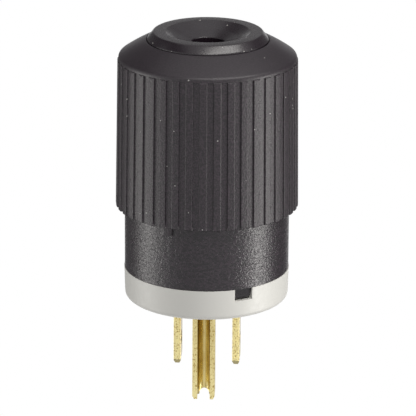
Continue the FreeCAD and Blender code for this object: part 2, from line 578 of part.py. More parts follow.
def cord_jaw():
    """Half collar that the wedge presses on the cord; rings of teeth stand in its bore."""
    ring = turned(outline(
        (JAW_BORE_RADIUS + JAW_TOOTH_DEPTH, JAW_BOTTOM), (wedge_radius(JAW_BOTTOM) - SLIP, JAW_BOTTOM),
        (wedge_radius(JAW_TOP) - SLIP, JAW_TOP), (JAW_BORE_RADIUS + JAW_TOOTH_DEPTH, JAW_TOP)))
    teeth = []
    root = JAW_BORE_RADIUS + JAW_TOOTH_DEPTH + SEAT
    for i in range(int(JAW_HEIGHT / JAW_TOOTH_PITCH)):
        z = JAW_BOTTOM + i * JAW_TOOTH_PITCH
        teeth.append(turned(outline(
            (root, z), (root, z + JAW_TOOTH_PITCH * 0.8), (JAW_BORE_RADIUS, z + JAW_TOOTH_PITCH * 0.4))))
    jaw = ring.fuse(teeth)
    reach = WEDGE_BOTTOM_RADIUS + BEYOND
    return jaw.common(block(JAW_SPLIT / 2, reach, -reach, reach, JAW_BOTTOM - BEYOND, JAW_TOP + BEYOND))


def assembly_screw():
    """Long screw from the mating face to the insert in the shell, with a slotted recessed head."""
    head = rod(SCREW_HEAD_RADIUS, SCREW_RECESS, SCREW_HEAD_TOP, SCREW_X, SCREW_Y)
    head = head.cut(block(SCREW_X - SCREW_HEAD_RADIUS, SCREW_X + SCREW_HEAD_RADIUS,
                          SCREW_Y - DRIVE_SLOT_WIDTH / 2, SCREW_Y + DRIVE_SLOT_WIDTH / 2,
                          SCREW_RECESS - BEYOND, SCREW_RECESS + DRIVE_SLOT_DEPTH))
    shank = rod(SCREW_SHANK_RADIUS, SCREW_HEAD_TOP - SEAT, INSERT_TOP + SCREW_PAST_INSERT,
                SCREW_X, SCREW_Y)
    return head.fuse(shank).removeSplitter()


def screw_washer():
    """Fibre washer behind the face that keeps the long screw from falling out."""
    washer = rod(WASHER_RADIUS, WASHER_BOTTOM, FACE_HEIGHT, SCREW_X, SCREW_Y)
    return washer.cut(rod(SCREW_SHANK_RADIUS + SEAT, WASHER_BOTTOM - BEYOND, FACE_HEIGHT + BEYOND,
                          SCREW_X, SCREW_Y))


def threaded_insert():
    """Brass insert that is moulded into the shell's boss and takes the long screw."""
    insert = rod(INSERT_RADIUS, INSERT_BOTTOM, INSERT_TOP, SCREW_X, SCREW_Y)
    return insert.cut(rod(SCREW_SHANK_RADIUS + SEAT, INSERT_BOTTOM - BEYOND, INSERT_TOP + BEYOND,
                          SCREW_X, SCREW_Y))


def pieces():
    """Every piece by name, as drawn, with the pins down."""
    made = {
        "front_face": front_face(),
        "terminal_body": terminal_body(),
        "grip_shell": grip_shell(),
        "cord_gland": cord_gland(),
        "ground_pin": ground_pin(),
        "ground_clamp_plate": ground_terminal(clamp_plate),
        "ground_terminal_screw": ground_terminal(terminal_screw),
        "line_blade": blade(),
        "line_clamp_plate": line_terminal(clamp_plate),
        "line_terminal_screw": line_terminal(terminal_screw),
        "cord_jaw_right": cord_jaw(),
        "assembly_screw_right": assembly_screw(),
        "screw_washer_right": screw_washer(),
        "threaded_insert_right": threaded_insert(),
    }
    for name in list(made):
        twin = name.replace("line_", "neutral_").replace("_right", "_left")
        if twin != name:
            made[twin] = mirrored(made[name])
    return made


def turned_over(shape):
    """Turns a piece over about the Y axis, so that the plug stands on its gland with the pins up."""
    shape.rotate(ORIGIN, Vector(0, 1, 0), 180)
    return shape


os.makedirs("parts", exist_ok=True)
for node, drawn in pieces().items():
    solids = turned_over(drawn).Solids
    piece = solids[0] if len(solids) == 1 else Part.makeCompound(solids)
    piece.exportStep(os.path.join("parts", node + ".step"))
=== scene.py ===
"""Dresses a rewireable type B plug: ribbed grip shell, rubber gland, white face and brass pins.

Shapes are drawn with the plug's axis on Z, the mating face at height 0, the pins pointing down and
the ground pin on the -Y side. The function placed turns them over into the frame, where the plug
stands on the flat rim of its gland with the pins up. Lengths are in metres, and the defaults of the
size properties are given in millimetres.
"""
import json
import math

import bmesh
import bpy
import numpy as np
from bpy.props import FloatProperty, FloatVectorProperty, IntProperty, PointerProperty
from mathutils import Matrix, Vector


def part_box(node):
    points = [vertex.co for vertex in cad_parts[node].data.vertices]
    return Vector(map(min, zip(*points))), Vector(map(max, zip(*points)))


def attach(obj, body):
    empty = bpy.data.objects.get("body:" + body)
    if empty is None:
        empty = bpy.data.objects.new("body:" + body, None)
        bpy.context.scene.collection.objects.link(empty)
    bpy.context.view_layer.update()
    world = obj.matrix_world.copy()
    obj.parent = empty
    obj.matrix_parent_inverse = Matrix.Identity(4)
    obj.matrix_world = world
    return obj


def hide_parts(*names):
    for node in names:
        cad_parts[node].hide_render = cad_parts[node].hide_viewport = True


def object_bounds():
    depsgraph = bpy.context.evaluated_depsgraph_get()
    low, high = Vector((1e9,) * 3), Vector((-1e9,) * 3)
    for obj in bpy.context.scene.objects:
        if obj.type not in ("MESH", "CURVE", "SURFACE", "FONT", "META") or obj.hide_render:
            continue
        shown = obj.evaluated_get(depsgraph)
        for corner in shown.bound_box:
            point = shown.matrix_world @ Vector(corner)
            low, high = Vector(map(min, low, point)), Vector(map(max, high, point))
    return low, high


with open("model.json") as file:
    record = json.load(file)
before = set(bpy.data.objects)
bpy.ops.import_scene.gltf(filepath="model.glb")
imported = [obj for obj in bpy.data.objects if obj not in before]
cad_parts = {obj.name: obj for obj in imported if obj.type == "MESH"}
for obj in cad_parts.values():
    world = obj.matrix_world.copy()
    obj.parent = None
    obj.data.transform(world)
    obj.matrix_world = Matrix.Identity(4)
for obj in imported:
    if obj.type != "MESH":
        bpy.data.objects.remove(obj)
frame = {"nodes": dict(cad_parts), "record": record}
CAD_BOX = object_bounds()
BODY = "root"
MM = 0.001
MERGE_DISTANCE = 1e-7

bl_info = {
    "name": "Rewireable Plug Looks",
    "version": (1, 0, 0),
    "blender": (4, 5, 0),
    "location": "3D Viewport > Sidebar > Plug",
    "description": "Builds the pieces, finishes and studio of a ribbed three-pin plug",
    "category": "Add Mesh",
}


def radius_of(source):
    """Half a node's width across the blades."""
    low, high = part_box(source)
    return (high.x - low.x) / 2


def heights_of(source):
    """A node's lowest and highest drawn heights."""
    low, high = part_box(source)
    return -high.z, -low.z


def linear(colour):
    """An sRGB hex colour as linear red, green, blue and a full alpha."""
    parts = [int(colour[i:i + 2], 16) / 255 for i in (1, 3, 5)]
    return tuple(c / 12.92 if c <= 0.04045 else ((c + 0.055) / 1.055) ** 2.4 for c in parts) + (1.0,)


def length(name, description, millimetres):
    """A size property, shown as a length."""
    return FloatProperty(name=name, description=description, default=millimetres * MM, unit="LENGTH",
                         precision=5)


def angle(name, description, degrees):
    """An angle property, kept in radians."""
    return FloatProperty(name=name, description=description, default=math.radians(degrees),
                         subtype="ANGLE")


def share(name, description, default):
    """A plain share between 0 and 1."""
    return FloatProperty(name=name, description=description, default=default, min=0.0, max=1.0,
                         subtype="FACTOR")


def colour(name, description, default):
    """A colour property whose default is an sRGB hex value."""
    return FloatVectorProperty(name=name, description=description, default=linear(default),
                               size=4, min=0.0, max=1.0, subtype="COLOR")


class GripShellSizes(bpy.types.PropertyGroup):
    """Outside of the ribbed shell."""

    rib_count: IntProperty(name="Ribs", description="Ribs round the grip", default=41, min=8)
    rib_radius: length("Rib radius", "Radius over the ribs at the mouth", 19.4)
    rib_share: share("Rib share", "Share of each pitch that is rib", 0.52)
    rib_turn: angle("Rib turn", "From the ground pin's side to the middle of a rib", 0.43)
    rib_depth: length("Rib depth", "Height of a rib over the groove", 0.35)
    rib_round: length("Rib rounding", "Radius of a rib's edges and of the groove's corners", 0.13)
    rib_draft: length("Rib draft", "How far a rib's side leans out over its depth", 0.03)
    taper: length("Taper", "How much narrower the ribs are at the lip", 0.42)
    mouth_round: length("Mouth rounding", "Radius at the ribs' open ends", 0.2)
    lip_height: length("Lip height", "Height at which the shoulder's round begins", 52.65)
    lip_radius: length("Lip radius", "Radius of the plain lip", 18.8)
    lip_round: length("Lip rounding", "Radius between lip and shoulder", 0.98)
    lip_band: length("Lip band", "Plain band between the ribs' ends and the round", 0.35)
    seat_radius: length("Seat radius", "Inner edge of the shoulder", 12.87)
    shoulder_bow: length("Shoulder bow", "How far the shoulder bulges", 0.14)


class ShellInsideSizes(bpy.types.PropertyGroup):
    """Inside of the shell: bore, keyway, chamber, wedge collar, gland seat and screw bosses."""

    bore_gap: length("Bore gap", "Between the terminal body and the shell", 0.12)
    bore_top: length("Bore top", "Height of the ledge over the terminal body", 34.0)
    keyway_turn: angle("Keyway turn", "From the ground pin's side towards the neutral blade", 25.2)
    keyway_width: length("Keyway width", "Width of the guide key's groove", 2.84)
    keyway_depth: length("Keyway depth", "Depth of the groove in the bore", 0.45)
    keyway_top: length("Keyway top", "Height at which the groove ends", 24.03)
    chamber_radius: length("Chamber radius", "Wall of the cord chamber", 16.4)
    chamber_corner: length("Chamber corner", "Radius at which the chamber's slope meets the ceiling", 12.0)
    chamber_height: length("Chamber height", "Height at which the chamber's slope begins", 50.6)
    ceiling: length("Ceiling", "Height of the chamber's ceiling", 53.0)
    wedge_outer: length("Wedge outside", "Outer radius of the wedge collar", 10.6)
    wedge_mouth: length("Wedge mouth", "Radius at the wedge's open end", 9.1)
    wedge_throat: length("Wedge throat", "Radius at the wedge's narrow end", 8.2)
    wedge_bottom: length("Wedge bottom", "Height of the wedge's open end", 40.6)
    wedge_top: length("Wedge top", "Height of the wedge's narrow end", 50.6)
    neck_radius: length("Neck radius", "Hole that the gland's neck fills", 6.65)
    gland_seat: length("Gland seat", "Height of the ledge under the gland's flange", 56.2)
    boss_radius: length("Boss radius", "Outside of a screw boss", 3.6)
    boss_x: length("Boss X", "Boss from the plug's middle, towards the blades' sides", 12.6)
    boss_y: length("Boss Y", "Boss from the plug's middle, towards the ground pin's side", 3.2)
    boss_bottom: length("Boss bottom", "Height of a boss's open end", 37.0)
    boss_top: length("Boss top", "Height of a boss's closed end", 47.4)
    bore_radius: length("Screw bore", "Hole for the long screw", 1.77)
    bore_end: length("Screw bore end", "Height at which the screw's hole ends", 46.6)
    insert_radius: length("Insert radius", "Hole that holds the threaded insert", 2.6)
    insert_bottom: length("Insert bottom", "Height of the insert's lower end", 38.0)
    insert_top: length("Insert top", "Height of the insert's upper end", 45.0)


class GlandSizes(bpy.types.PropertyGroup):
    """Rubber cord gland."""

    flank_height: length("Flank height", "Height at which the flank starts", 56.72)
    rim_radius: length("Rim radius", "Outer edge of the flat rim", 11.5)
    rim_round: length("Rim rounding", "Radius between flank and rim", 0.45)
    dish_radius: length("Dish radius", "Inner edge of the flat rim", 8.9)
    dish_height: length("Dish height", "Height of the dish at the cord's hole", 56.1)
    dish_sag: length("Dish sag", "How far the dish curves in", 0.14)
    cord_radius: length("Cord radius", "Radius of the cord's hole", 3.4)
    neck_radius: length("Neck radius", "Neck through the shell", 6.6)
    collar_radius: length("Collar radius", "Collar under the shell's ceiling", 7.6)
    collar_top: length("Collar top", "Height of the collar's ledge", 53.0)
    seat: length("Seat", "Height of the flange's underside", 56.2)


class EdgeSizes(bpy.types.PropertyGroup):
    """Rounding of the edges, and two lengths that tell where a finish changes."""

    body: length("Body edges", "Rounding of the terminal body's edges", 0.1)
    face: length("Face edges", "Rounding of the white face's edges", 0.1)
    pin: length("Pin edges", "Rounding of the blades' and ground pin's edges", 0.06)
    key_length: length("Key length", "How far the face key stands below the body", 1.97)
    cut_end: length("Cut end", "Length at a pin's tip whose small faces are cut, not rolled", 4.0)
    fitting: length("Fitting edges", "Rounding of screws, plates and jaws", 0.06)


class PlugColours(bpy.types.PropertyGroup):
    """Base colours of the plug's finishes, with a painted sheen for the black nylon's grain."""

    black_nylon: colour("Black nylon", "Moulded body and shell", "#120c12")
    # Painted sheen: a lighter colour painted on the grain's raised tops, where they would catch the light
    painted_grain_sheen: colour("Black nylon painted sheen", "Painted sheen on the tops of the mould grain", "#332831")
    rubber: colour("Rubber", "Cord gland", "#20171f")
    dust: colour("Dust", "Specks of dust on the gland and the shell", "#d8d6d2")
    white_nylon: colour("White nylon", "Front face", "#e3e2dd")
    brass: colour("Brass", "Blades, ground pin and terminals", "#fff2b4")
    tarnish: colour("Tarnish", "Older skin in the pits and folds of the brass", "#a88a42")
    plating: colour("Plating", "Nickel on the steel screws", "#c9c7c0")
    green_steel: colour("Green steel", "Dyed ground terminal screw", "#1f6b3a")
    fibre: colour("Fibre", "Vulcanised washers", "#7c2f22")
    grey_nylon: colour("Grey nylon", "Cord jaws", "#8b8c8e")


class StudioValues(bpy.types.PropertyGroup):
    """Camera place and light levels."""

    camera_distance: length("Camera distance", "From the plug's axis", 723.85)
    camera_rise: angle("Camera rise", "Angle over the face plane", 17.863)
    plug_turn: angle("Plug turn", "Turn of the plug about its axis", 3.037)
    camera_roll: angle("Camera roll", "Lean of the picture", 0.335)
    look_height: length("Look height", "Height on the axis that the camera starts from", 25.0)
    sky: FloatProperty(name="Sky", description="Mean strength of the surround's light", default=0.29)


def placed(points):
    """The drawing turned over into the frame: half a turn about the Y axis."""
    return np.asarray(points, float) * (-1, 1, -1)


def shade(mesh, degrees):
    """Smooth shading that breaks at edges sharper than an angle."""
    mesh.polygons.foreach_set("use_smooth", np.ones(len(mesh.polygons), bool))
    mesh.set_sharp_from_angle(angle=math.radians(degrees))


def linked(name, data):
    """A new object in the scene, from a mesh, a lamp or a camera."""
    made = bpy.data.objects.new(name, data)
    bpy.context.scene.collection.objects.link(made)
    return made


def surface(name, points, faces):
    """A closed object from drawn points and faces: doubles merged and faces outwards."""
    mesh = bpy.data.meshes.new(name)
    mesh.from_pydata(placed(points).tolist(), [], np.asarray(faces).tolist())
    edit = bmesh.new()
    edit.from_mesh(mesh)
    bmesh.ops.remove_doubles(edit, verts=edit.verts, dist=MERGE_DISTANCE)
    bmesh.ops.dissolve_degenerate(edit, dist=MERGE_DISTANCE / 10, edges=edit.edges)
    if edit.calc_volume(signed=True) < 0:
        bmesh.ops.reverse_faces(edit, faces=edit.faces)
    edit.to_mesh(mesh)
    edit.free()
    return linked(name, mesh)


def combined(first, second, operation):
    """The first object with a second one joined or cut away; the second is removed."""
    change = first.modifiers.new(operation.title(), "BOOLEAN")
    change.operation = operation
    change.solver = "MANIFOLD"
    change.object = second
    bpy.context.view_layer.update()
    graph = bpy.context.evaluated_depsgraph_get()
    mesh = bpy.data.meshes.new_from_object(first.evaluated_get(graph))
    # The Boolean leaves an empty material slot
    mesh.materials.clear()
    first.modifiers.clear()
    first.data = mesh
    bpy.data.objects.remove(second)
    return first


def finished(made, materials, replaced, degrees=30):
    """Gives a piece its shading, materials and slot, and lets it ride in place of the solids."""
    shade(made.data, degrees)
    for material in materials:
        made.data.materials.append(material)
    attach(made, BODY)
    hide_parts(*replaced)


def grid_faces(rows, columns):
    """Quads of a grid that closes on itself both ways."""
    low = np.arange(rows)[:, None] * columns
    high = (np.arange(rows)[:, None] + 1) % rows * columns
    column = np.arange(columns)[None, :]
    after = (column + 1) % columns
    return np.stack([low + column, low + after, high + after, high + column], axis=-1).reshape(-1, 4)


def lathe(radii, heights, angles):
    """Surface of revolution: a point is (r sin a, -r cos a, z), with a from the ground pin's side."""
    x = radii * np.sin(angles)
    y = -radii * np.cos(angles)
    return np.stack([x, y, np.broadcast_to(heights, x.shape)], axis=-1).reshape(-1, 3)


def turned(name, profile, columns, centre=(0.0, 0.0)):
    """Closed profile of radius and height turned about an upright axis."""
    angles = np.linspace(0, 2 * math.pi, columns, endpoint=False)
    points = lathe(profile[:, :1] + 0 * angles, profile[:, 1:], angles[None, :])
    return surface(name, points + (*centre, 0.0), grid_faces(len(profile), columns))


def rounded(corners, radii, steps):
    """Closed profile through corners, each cut back and replaced by an arc of its own radius.

    The arc starts and ends at radius over the tangent of half the corner's angle from the corner,
    and its points turn evenly about the centre on the corner's bisector.
    """
    corners = np.asarray(corners, float)
    made = []
    for i, radius in enumerate(radii):
        here = corners[i]
        if radius <= 0:
            made.append(here[None])
            continue
        back = corners[i - 1] - here
        ahead = corners[(i + 1) % len(corners)] - here
        back /= np.linalg.norm(back)
        ahead /= np.linalg.norm(ahead)
        half = math.acos(np.clip(back @ ahead, -1, 1)) / 2
        middle = (back + ahead) / np.linalg.norm(back + ahead)
        centre = here + middle * radius / math.sin(half)
        start = here + back * radius / math.tan(half) - centre
        end = here + ahead * radius / math.tan(half) - centre
        turn = math.pi - 2 * half
        step = np.linspace(0, 1, steps)[:, None]
        arc = np.sin((1 - step) * turn) * start + np.sin(step * turn) * end
        made.append(centre + arc / math.sin(turn))
    return np.concatenate(made)


def node(tree, kind, inputs=None, **settings):
    """Adds one shader node: settings are its properties, and its inputs, by name or number, are
    values or linked outputs."""
    made = tree.nodes.new("ShaderNode" + kind)
    for key, value in settings.items():
        setattr(made, key, value)
    for key, value in (inputs or {}).items():
        if isinstance(value, bpy.types.NodeSocket):
            tree.links.new(value, made.inputs[key])
        else:
            made.inputs[key].default_value = value
    return made


def new_material(name, **settings):
    """A node material with its output and a Principled shader, whose plain sockets are set by name."""
    made = bpy.data.materials.new(name)
    made.use_nodes = True
    tree = made.node_tree
    tree.nodes.clear()
    output = tree.nodes.new("ShaderNodeOutputMaterial")
    shader = tree.nodes.new("ShaderNodeBsdfPrincipled")
    tree.links.new(shader.outputs[0], output.inputs[0])
    for key, value in settings.items():
        shader.inputs[key.replace("_", " ")].default_value = value
    return made, tree, shader


def values(group):
    """The scene's values of one property group."""
    return getattr(bpy.context.scene, group)


def grain_pattern(tree, place, grain_mm, detail=2.0, stretch=(1.0, 1.0, 1.0), twist=0.0):
    """Uneven pattern whose features measure about a grain in millimetres, drawn out or twisted.

    Its scale is 1 over the grain in metres, and the stretch multiplies the coordinates.
    """
    scaled = node(tree, "Mapping", {"Vector": place, "Scale": stretch}).outputs[0]
    inputs = {"Vector": scaled, "Scale": 1 / (grain_mm * MM), "Detail": detail, "Distortion": twist}
    return node(tree, "TexNoise", inputs).outputs[0]


def set_surface(tree, shader, roughness=None, height=None, depth_mm=0.0, tone=None):
    """Links a roughness, a bump of some depth in millimetres, and a base colour to the shader."""
    if roughness is not None:
        tree.links.new(roughness, shader.inputs["Roughness"])
    if height is not None:
        bump = node(tree, "Bump", {"Height": height, "Strength": 1.0, "Distance": depth_mm * MM})
        tree.links.new(bump.outputs[0], shader.inputs["Normal"])
    if tone is not None:
        tree.links.new(tone, shader.inputs["Base Color"])


def dusted(tree, place, tone, kept):
    """A base colour with specks of dust up to 0.3 mm wide, on the kept share of 1.5 mm cells.

    Few cells have their speck just at the surface, so a share of 0.2 leaves one speck to about
    50 square millimetres.
    """
    cell = 1.5 * MM
    reach = 0.15 * MM / cell
    cover = 0.7
    specks = node(tree, "TexVoronoi", {"Vector": place, "Scale": 1 / cell})
    near = node(tree, "Math", {0: specks.outputs["Distance"], 1: reach}, operation="LESS_THAN").outputs[0]
    picked = node(tree, "SeparateColor", {0: specks.outputs["Color"]}).outputs[0]
    few = node(tree, "Math", {0: picked, 1: 1 - kept}, operation="GREATER_THAN").outputs[0]
    dust = node(tree, "Math", {0: near, 1: few}, operation="MULTIPLY").outputs[0]
    dust = node(tree, "Math", {0: dust, 1: cover}, operation="MULTIPLY").outputs[0]
    return node(tree, "Mix", {0: dust, 6: tone, 7: values("plug_colours").dust}, data_type="RGBA").outputs[2]


def grained(tree, grain):
    """Black nylon whose raised grain is painted a little lighter: a painted sheen where the grain's tops
    would catch the light.
    """
    colours = values("plug_colours")
    # Share of painted sheen, growing with the grain's height
    sheen_share = node(tree, "MapRange", {0: grain, 1: 0.42, 2: 0.62}).outputs[0]
    return node(tree, "Mix", {0: sheen_share, 6: colours.black_nylon, 7: colours.painted_grain_sheen},
                data_type="RGBA").outputs[2]


def fine_black_nylon(name="Fine-grained black nylon", lip_height=None):
    """Injection-moulded nylon from a finely spark-eroded mould: dull black, a faint grain in the light.

    Past a lip's height, on the shoulder, the mould was rubbed smoother and little of the grain is
    left. The real grain is about 0.1 mm wide and is drawn coarser, so that it shows.
    """
    made, tree, shader = new_material(name, IOR=1.53)
    place = node(tree, "TexCoord").outputs["Object"]
    grain = grain_pattern(tree, place, 0.34, 1.5)
    if lip_height is not None:
        z = node(tree, "SeparateXYZ", {0: place}).outputs["Z"]
        fade = {0: z, 1: -lip_height - 0.5 * MM, 2: -lip_height + 0.5 * MM, 3: 0.25, 4: 1.0}
        strength = node(tree, "MapRange", fade).outputs[0]
        grain = node(tree, "Mix", {0: strength, 2: 0.5, 3: grain}).outputs[0]
    rough = node(tree, "MapRange", {0: grain, 1: 0.3, 2: 0.7, 3: 0.4, 4: 0.48}).outputs[0]
    # The tone is a painted sheen on the grain's raised tops, with real specks of dust over it
    set_surface(tree, shader, rough, grain, 0.09, dusted(tree, place, grained(tree, grain), 0.2))
    return made


def plain_black_nylon():
    """The same nylon where the mould was left smooth and a little dull, as on the face key."""
    black = values("plug_colours").black_nylon
    made, tree, shader = new_material("Smooth black nylon", IOR=1.53, Specular_IOR_Level=0.3,
                                      Base_Color=black)
    place = node(tree, "TexCoord").outputs["Object"]
    skin = grain_pattern(tree, place, 0.5)
    rough = node(tree, "MapRange", {0: skin, 1: 0.3, 2: 0.7, 3: 0.25, 4: 0.32}).outputs[0]
    set_surface(tree, shader, rough, skin, 0.005)
    return made


def pebbled_black_nylon():
    """The same nylon from a deeply spark-eroded mould: low pebbles, wider than high, that glitter."""
    made, tree, shader = new_material("Pebble-grained black nylon", IOR=1.53)
    place = node(tree, "TexCoord").outputs["Object"]
    pebbles = grain_pattern(tree, place, 0.64, 1.0, (1.0, 1.0, 1.6), 1.0)
    rough = node(tree, "MapRange", {0: pebbles, 1: 0.3, 2: 0.7, 3: 0.34, 4: 0.26}).outputs[0]
    # The tone is a painted sheen on the pebbles' raised tops
    set_surface(tree, shader, rough, pebbles, 0.12, grained(tree, pebbles))
    return made


def moulded_rubber():
    """Thermoplastic rubber: near black and satin, with a few caught specks of dust."""
    made, tree, shader = new_material("Moulded rubber", IOR=1.52)
    place = node(tree, "TexCoord").outputs["Object"]
    skin = grain_pattern(tree, place, 0.4)
    rough = node(tree, "MapRange", {0: skin, 1: 0.3, 2: 0.7, 3: 0.26, 4: 0.32}).outputs[0]
    set_surface(tree, shader, rough, skin, 0.001, dusted(tree, place, values("plug_colours").rubber, 0.6))
    return made


def moulded_white_nylon():
    """Natural white nylon: satin, faintly warm, with the soft orange peel of a polished mould."""
    white = values("plug_colours").white_nylon
    made, tree, shader = new_material("Moulded white nylon", IOR=1.53, Base_Color=white)
    place = node(tree, "TexCoord").outputs["Object"]
    peel = grain_pattern(tree, place, 0.9)
    rough = node(tree, "MapRange", {0: peel, 1: 0.3, 2: 0.7, 3: 0.4, 4: 0.5}).outputs[0]
    set_surface(tree, shader, rough, peel, 0.012)
    return made


def brass_skin(tree, place, least, most):
    """Mottled brass colour: clean metal with shares of an older, browner skin in soft patches."""
    colours = values("plug_colours")
    patches = grain_pattern(tree, place, 2.4, 4.0, (1.0, 1.0, 0.3))
    amount = node(tree, "MapRange", {0: patches, 1: 0.35, 2: 0.65, 3: least, 4: most}).outputs[0]
    return node(tree, "Mix", {0: amount, 6: colours.brass, 7: colours.tarnish}, data_type="RGBA").outputs[2]


def rolled_brass():
    """Rolled face of half-hard brass strip: bright, with fine streaks along the pin.

    The real streaks are under 0.1 mm wide and are drawn coarser, so that they show.
    """
    made, tree, shader = new_material("Rolled brass face", Metallic=1.0)
    place = node(tree, "TexCoord").outputs["Object"]
    streaks = grain_pattern(tree, place, 0.3, 3.0, (1.0, 1.0, 0.06))
    rough = node(tree, "MapRange", {0: streaks, 1: 0.3, 2: 0.7, 3: 0.18, 4: 0.3}).outputs[0]
    set_surface(tree, shader, rough, tone=brass_skin(tree, place, 0.35, 0.9))
    return made


def sheared_brass(name, least, most):
    """Blanked and tumbled edge of the strip: pale, rough and pitted, with shares of the browner skin."""
    made, tree, shader = new_material(name, Metallic=1.0)
    place = node(tree, "TexCoord").outputs["Object"]
    pits = grain_pattern(tree, place, 0.28, 3.0)
    rough = node(tree, "MapRange", {0: pits, 1: 0.3, 2: 0.7, 3: 0.5, 4: 0.25}).outputs[0]
    deep = node(tree, "MapRange", {0: pits, 1: 0.33, 2: 0.46, 3: 1.0, 4: 0.0}).outputs[0]
    skin = brass_skin(tree, place, least, most)
    tone = node(tree, "Mix", {0: deep, 6: skin, 7: values("plug_colours").tarnish}, data_type="RGBA")
    set_surface(tree, shader, rough, pits, 0.12, tone.outputs[2])
    return made


def plain_finish(name, tone, roughness, metallic=0.0):
    """A plain finish with a fine machined or moulded grain, for the small inner pieces."""
    made, tree, shader = new_material(name, Metallic=metallic, Base_Color=tone)
    place = node(tree, "TexCoord").outputs["Object"]
    grain = grain_pattern(tree, place, 0.4, 3.0)
    rough = node(tree, "MapRange", {0: grain, 3: roughness - 0.06, 4: roughness + 0.06}).outputs[0]
    set_surface(tree, shader, rough, grain, 0.01)
    return made


def rib_height(across, size, half_land):
    """Height over the groove at a distance from a rib's middle.

    The land is flat, its edge and the groove's corner are quarter circles of the rounding's
    radius, and the drafted side between them falls evenly.
    """
    r = size.rib_round
    over = np.clip(across - (half_land - r), 0, r)
    land = size.rib_depth - r + np.sqrt(r * r - over * over)
    foot = np.clip(half_land + size.rib_draft + r - across, 0, r)
    root = r - np.sqrt(r * r - foot * foot)
    fall = np.clip((across - half_land) / size.rib_draft, 0, 1)
    side = size.rib_depth - r + fall * (2 * r - size.rib_depth)
    return np.where(across <= half_land, land, np.where(across >= half_land + size.rib_draft, root, side))


def rib_columns(size, radius, half_land):
    """Angles of the shell's columns: few on each land and floor, and arcs of them at the roundings."""
    half_pitch = math.pi * radius / size.rib_count
    turn = np.linspace(0, math.pi / 2, 5)
    edge = half_land - size.rib_round + size.rib_round * np.sin(turn)
    foot = half_land + size.rib_draft + size.rib_round * (1 - np.cos(turn))
    near = 0.03 * MM
    one_side = np.concatenate([[0, edge[0] - near], edge, foot, [foot[-1] + near, half_pitch]])
    whole = np.unique(np.round(np.concatenate([one_side, -one_side[1:-1]]), 9))
    starts = np.arange(size.rib_count) * 2 * half_pitch
    return ((starts[:, None] + whole[None, :]) / radius).ravel() + size.rib_turn


# How a rib's end runs into the lip: height off the band's edge, and share of the step taken there
RIB_END = (
    (-0.12 * MM, 0.0),
    (-0.03 * MM, 0.05),
    (0.0, 0.2),
    (0.0, 0.8),
    (0.03 * MM, 0.95),
    (0.1 * MM, 1.0),
)


def keyway_columns(angles, inside, bore):
    """The shell's angles with a close pair added at each side of the keyway, and half its angle."""
    half = math.asin(inside.keyway_width / 2 / bore)
    step = math.radians(0.05)
    sides = [-inside.keyway_turn + side * half + near for side in (-1, 1) for near in (-step, step)]
    return np.sort(np.concatenate([angles % (2 * math.pi), np.mod(sides, 2 * math.pi)])), half


def shell_outside(size, rib, bottom, top, big):
    """Rows of the shell's outside from the mouth to the gland's seat.

    Up to the lip the radius is the tapered groove floor plus the rib's height. The mouth's edge and
    the lip are arcs, and the shoulder is a straight slope that bulges by 4 b s (1 - s), where b is
    its bow and s runs from 0 to 1 along it.
    """
    def ribbed(height):
        up = (height - bottom) / (size.lip_height - bottom)
        return big - size.rib_depth - up * size.taper + rib

    rows = []
    for a in np.radians((0, 30, 60, 90)):
        height = bottom + size.mouth_round * (1 - math.cos(a))
        rows.append((ribbed(height) - size.mouth_round * (1 - math.sin(a)), height))
    band = size.lip_height - size.lip_band
    for height in np.linspace(bottom + MM, band - 0.4 * MM, 8):
        rows.append((ribbed(height), height))
    for off, taken in RIB_END:
        base = ribbed(band + off)
        rows.append((base + (size.lip_radius - base) * taken, band + off))
    slope = math.atan2(top - size.lip_height, size.lip_radius - size.seat_radius)
    centre = size.lip_radius - size.lip_round
    for a in np.linspace(0, math.pi / 2 - slope, 9):
        rows.append((centre + size.lip_round * math.cos(a), size.lip_height + size.lip_round * math.sin(a)))
    start = np.array(rows[-1])
    end = np.array([size.seat_radius, top])
    for s in np.linspace(0, 1, 12)[1:-1]:
        bow = 4 * size.shoulder_bow * s * (1 - s)
        rows.append(tuple(start + (end - start) * s + bow * np.array([math.sin(slope), math.cos(slope)])))
    return rows


def shell_inside(size, inside, bottom, top, bore):
    """Rounded profile from the shoulder's inner edge by the seat, wedge and chamber to the mouth."""
    corners = [
        (size.seat_radius, top), (size.seat_radius, inside.gland_seat),
        (inside.neck_radius, inside.gland_seat), (inside.neck_radius, inside.ceiling),
        (inside.wedge_throat, inside.ceiling), (inside.wedge_throat, inside.wedge_top),
        (inside.wedge_mouth, inside.wedge_bottom), (inside.wedge_outer, inside.wedge_bottom),
        (inside.wedge_outer, inside.ceiling), (inside.chamber_corner, inside.ceiling),
        (inside.chamber_radius, inside.chamber_height), (inside.chamber_radius, inside.bore_top),
        (bore, inside.bore_top), (bore, bottom)]
    rounds = np.array([0.2, 0.05, 0.2, 0.2, 0.1, 0.1, 0.15, 0.15, 0.3, 0.3, 0.3, 0.1, 0.1, 0.0]) * MM
    # A point on the shoulder gives the first corner its direction, and is then dropped
    shoulder = (size.seat_radius + MM, top - 0.5 * MM)
    return rounded([shoulder] + corners, [0.0, *rounds], steps=4)[1:]


